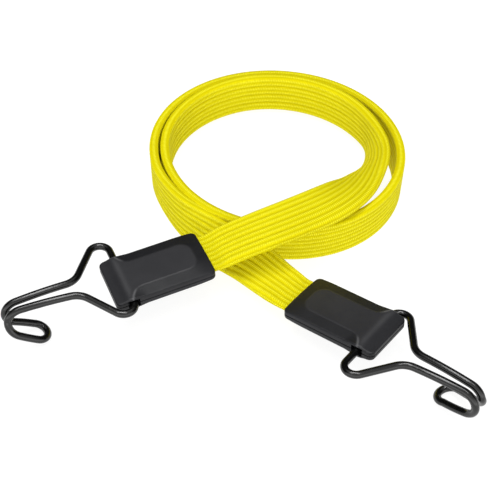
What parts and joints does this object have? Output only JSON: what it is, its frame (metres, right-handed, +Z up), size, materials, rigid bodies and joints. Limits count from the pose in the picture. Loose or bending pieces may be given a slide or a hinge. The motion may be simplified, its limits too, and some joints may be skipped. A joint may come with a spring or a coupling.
{
  "type": "flat bungee cord",
  "caption": "Flat ribbed elastic strap, half coiled, with a moulded cover and a swinging coated wire hook at each end; stretched and hooked over a load to hold it down.",
  "frame": {"origin": "on the floor, under the middle of the box round the two covers, their crimps and hooks", "axes": "+X to the right in the picture, from the left hook towards the right hook; +Y away from the camera; +Z up"},
  "size_m": [0.1678, 0.1672, 0.023],
  "materials": {
    "strap": "ribbed woven elastic, matt",
    "rubber": "plain",
    "cover": "moulded, satin",
    "wire": "smooth black coating",
    "steel": "plain"
  },
  "bodies": {
    "strap_and_covers": {"strap_jacket": "strap", "rubber_strand_1": "rubber", "rubber_strand_2": "rubber", "rubber_strand_3": "rubber", "rubber_strand_4": "rubber", "rubber_strand_5": "rubber", "rubber_strand_6": "rubber", "rubber_strand_7": "rubber", "rubber_strand_8": "rubber", "left_cover_upper": "cover", "left_cover_lower": "cover", "left_strap_crimp": "steel", "right_cover_upper": "cover", "right_cover_lower": "cover", "right_strap_crimp": "steel"},
    "left_hook": {"left_hook_wire": "wire"},
    "right_hook": {"right_hook_wire": "wire"}
  },
  "joints": [
    {"name": "left_hook_swing", "type": "hinge", "parent": "strap_and_covers", "child": "left_hook", "pos_m": [-0.04045, 0.01572, 0.0143], "axis": [0.3947, -0.9156, 0.0767], "range_deg": [-148, 138]},
    {"name": "right_hook_swing", "type": "hinge", "parent": "strap_and_covers", "child": "right_hook", "pos_m": [0.04845, -0.00518, 0.0125], "axis": [0.6151, 0.7763, -0.1379], "range_deg": [-148, 138]}
  ]
}
